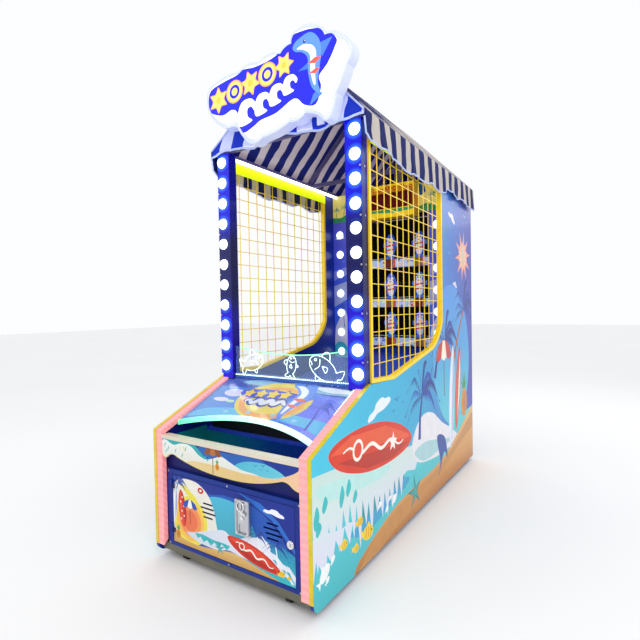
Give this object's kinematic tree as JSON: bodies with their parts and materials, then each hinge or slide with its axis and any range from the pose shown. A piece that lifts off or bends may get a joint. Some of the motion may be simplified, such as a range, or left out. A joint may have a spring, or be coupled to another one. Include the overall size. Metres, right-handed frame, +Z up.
{
  "type": "ball toss arcade machine",
  "caption": "Open-fronted ball toss arcade cabinet with knock-down fish targets, lit posts, mesh side windows, ball return, coin door and a striped gable roof.",
  "frame": {"origin": "middle of the footprint of the whole machine, on the floor", "axes": "+X to the player's right, +Y to the back, +Z up"},
  "size_m": [1.024, 2.382, 2.752],
  "materials": {
    "printed_board": "printed film over board",
    "yellow_trim": "moulded edging",
    "pink_light": "diffusing light strip",
    "blue_post": "gloss paint",
    "bulb_lens": "frosted lens",
    "yellow_wire": "powder coat",
    "deck_print": "printed film over board",
    "clear_cover": "clear acrylic",
    "turquoise_light": "diffusing light strip",
    "white_light": "diffusing tube",
    "cream_lip": "moulded",
    "fascia_print": "printed film over board",
    "navy_board": "painted board",
    "blue_frame": "satin paint",
    "door_print": "printed film over steel",
    "coin_steel": "satin",
    "chrome_part": "polished",
    "black_plastic": "moulded",
    "zinc_steel": "grey enamel",
    "bare_ply": "plywood",
    "dark_tray": "dark enamel",
    "target_board": "printed film over board",
    "steel_rod": "ground",
    "black_fringe": "hanging strips",
    "pilaster_print": "printed film over board",
    "header_print": "printed film over board",
    "figure_plastic": "moulded",
    "canopy_cloth": "striped canvas",
    "sign_case": "opal acrylic",
    "sign_face": "printed opal acrylic",
    "screw_steel": "plated",
    "grey_box": "enamel",
    "wheel_rubber": "moulded",
    "caster_steel": "zinc plated"
  },
  "bodies": {
    "cabinet": {"base_frame": "zinc_steel", "floor_pan": "bare_ply", "levelling_feet": "caster_steel", "side_panel_left": "printed_board", "side_panel_right": "printed_board", "edge_trims": "yellow_trim", "edge_lights": "pink_light", "columns": "blue_post", "bulb_domes": "bulb_lens", "side_mesh_left": "yellow_wire", "side_mesh_right": "yellow_wire", "deck_board": "deck_print", "deck_cover": "clear_cover", "deck_lights": "turquoise_light", "ball_shield": "clear_cover", "trough_lip": "cream_lip", "fascia_band": "fascia_print", "front_bulkhead": "navy_board", "coin_door_frame": "blue_frame", "coin_box": "coin_steel", "ball_trough": "dark_tray", "ball_ramp": "bare_ply", "gate_motor": "grey_box", "rear_wall": "navy_board", "target_shelves": "target_board", "cross_rods": "steel_rod", "ball_curtain": "black_fringe", "pilasters": "pilaster_print", "header_panel": "header_print", "roof_frame": "zinc_steel", "canopy": "canopy_cloth", "marquee_box": "sign_case", "marquee_face": "sign_face", "light_tubes": "white_light", "fasteners": "screw_steel", "control_unit": "grey_box"},
    "coin_door": {"coin_door": "door_print", "coin_mech": "coin_steel", "speakers": "black_plastic"},
    "coin_door_lock": {"coin_door_lock": "chrome_part"},
    "coin_return_button": {"coin_return_button": "chrome_part"},
    "coin_return_flap": {"coin_return_flap": "coin_steel"},
    "ball_gate": {"ball_gate": "black_plastic"},
    "rear_door": {"rear_door": "navy_board"},
    "rear_door_lock": {"rear_door_lock": "chrome_part"},
    "target_low_left": {"target_low_left": "figure_plastic"},
    "target_low_centre": {"target_low_centre": "figure_plastic"},
    "target_low_right": {"target_low_right": "figure_plastic"},
    "target_middle_left": {"target_middle_left": "figure_plastic"},
    "target_middle_centre": {"target_middle_centre": "figure_plastic"},
    "target_middle_right": {"target_middle_right": "figure_plastic"},
    "target_high_left": {"target_high_left": "figure_plastic"},
    "target_high_centre": {"target_high_centre": "figure_plastic"},
    "target_high_right": {"target_high_right": "figure_plastic"},
    "front_left_caster": {"front_left_caster_fork": "caster_steel"},
    "front_left_wheel": {"front_left_caster_wheel": "wheel_rubber"},
    "rear_left_wheel": {"rear_left_caster_wheel": "wheel_rubber"},
    "front_right_caster": {"front_right_caster_fork": "caster_steel"},
    "front_right_wheel": {"front_right_caster_wheel": "wheel_rubber"},
    "rear_right_wheel": {"rear_right_caster_wheel": "wheel_rubber"}
  },
  "joints": [
    {"name": "coin_door_hinge", "type": "hinge", "parent": "cabinet", "child": "coin_door", "pos_m": [-0.388, -1.1675, 0.272], "axis": [0, 0, -1], "range_deg": [0, 110]},
    {"name": "coin_door_lock_turn", "type": "hinge", "parent": "coin_door", "child": "coin_door_lock", "pos_m": [0.363, -1.161, 0.28], "axis": [0, -1, 0], "range_deg": [0, 90]},
    {"name": "coin_return_press", "type": "slide", "parent": "coin_door", "child": "coin_return_button", "axis": [0, 1, 0], "range_m": [0, 0.005], "stiffness_N_per_m": 300, "springref_m": -0.002},
    {"name": "coin_return_flap_swing", "type": "hinge", "parent": "coin_door", "child": "coin_return_flap", "pos_m": [0.105, -1.173, 0.307], "axis": [1, 0, 0], "range_deg": [0, 40]},
    {"name": "ball_gate_swing", "type": "hinge", "parent": "cabinet", "child": "ball_gate", "pos_m": [0, -0.839, 0.712], "axis": [-1, 0, 0], "range_deg": [0, 70]},
    {"name": "rear_door_hinge", "type": "hinge", "parent": "cabinet", "child": "rear_door", "pos_m": [-0.288, 1.187, 0.925], "axis": [0, 0, 1], "range_deg": [0, 110]},
    {"name": "rear_door_lock_turn", "type": "hinge", "parent": "rear_door", "child": "rear_door_lock", "pos_m": [0.246, 1.183, 0.925], "axis": [0, -1, 0], "range_deg": [0, 90]},
    {"name": "target_low_left_fall", "type": "hinge", "parent": "cabinet", "child": "target_low_left", "pos_m": [-0.24, 0.711, 1.051], "axis": [-1, 0, 0], "range_deg": [0, 75], "stiffness_Nm_per_rad": 0.6, "springref_deg": -22.92},
    {"name": "target_low_centre_fall", "type": "hinge", "parent": "cabinet", "child": "target_low_centre", "pos_m": [0, 0.711, 1.051], "axis": [-1, 0, 0], "range_deg": [0, 75], "stiffness_Nm_per_rad": 0.6, "springref_deg": -22.92},
    {"name": "target_low_right_fall", "type": "hinge", "parent": "cabinet", "child": "target_low_right", "pos_m": [0.24, 0.711, 1.051], "axis": [-1, 0, 0], "range_deg": [0, 75], "stiffness_Nm_per_rad": 0.6, "springref_deg": -22.92},
    {"name": "target_middle_left_fall", "type": "hinge", "parent": "cabinet", "child": "target_middle_left", "pos_m": [-0.24, 0.711, 1.357], "axis": [-1, 0, 0], "range_deg": [0, 75], "stiffness_Nm_per_rad": 0.6, "springref_deg": -22.92},
    {"name": "target_middle_centre_fall", "type": "hinge", "parent": "cabinet", "child": "target_middle_centre", "pos_m": [0, 0.711, 1.357], "axis": [-1, 0, 0], "range_deg": [0, 75], "stiffness_Nm_per_rad": 0.6, "springref_deg": -22.92},
    {"name": "target_middle_right_fall", "type": "hinge", "parent": "cabinet", "child": "target_middle_right", "pos_m": [0.24, 0.711, 1.357], "axis": [-1, 0, 0], "range_deg": [0, 75], "stiffness_Nm_per_rad": 0.6, "springref_deg": -22.92},
    {"name": "target_high_left_fall", "type": "hinge", "parent": "cabinet", "child": "target_high_left", "pos_m": [-0.24, 0.711, 1.669], "axis": [-1, 0, 0], "range_deg": [0, 75], "stiffness_Nm_per_rad": 0.6, "springref_deg": -22.92},
    {"name": "target_high_centre_fall", "type": "hinge", "parent": "cabinet", "child": "target_high_centre", "pos_m": [0, 0.711, 1.669], "axis": [-1, 0, 0], "range_deg": [0, 75], "stiffness_Nm_per_rad": 0.6, "springref_deg": -22.92},
    {"name": "target_high_right_fall", "type": "hinge", "parent": "cabinet", "child": "target_high_right", "pos_m": [0.24, 0.711, 1.669], "axis": [-1, 0, 0], "range_deg": [0, 75], "stiffness_Nm_per_rad": 0.6, "springref_deg": -22.92},
    {"name": "front_left_caster_swivel", "type": "hinge", "parent": "cabinet", "child": "front_left_caster", "pos_m": [-0.33, -1.099, 0.0718], "axis": [0, 0, 1], "continuous": true},
    {"name": "front_left_wheel_spin", "type": "hinge", "parent": "front_left_caster", "child": "front_left_wheel", "pos_m": [-0.33, -1.119, 0.033], "axis": [1, 0, 0], "continuous": true},
    {"name": "rear_left_wheel_spin", "type": "hinge", "parent": "cabinet", "child": "rear_left_wheel", "pos_m": [-0.33, 1.099, 0.033], "axis": [1, 0, 0], "continuous": true},
    {"name": "front_right_caster_swivel", "type": "hinge", "parent": "cabinet", "child": "front_right_caster", "pos_m": [0.33, -1.099, 0.0718], "axis": [0, 0, 1], "continuous": true},
    {"name": "front_right_wheel_spin", "type": "hinge", "parent": "front_right_caster", "child": "front_right_wheel", "pos_m": [0.33, -1.119, 0.033], "axis": [1, 0, 0], "continuous": true},
    {"name": "rear_right_wheel_spin", "type": "hinge", "parent": "cabinet", "child": "rear_right_wheel", "pos_m": [0.33, 1.099, 0.033], "axis": [1, 0, 0], "continuous": true}
  ]
}
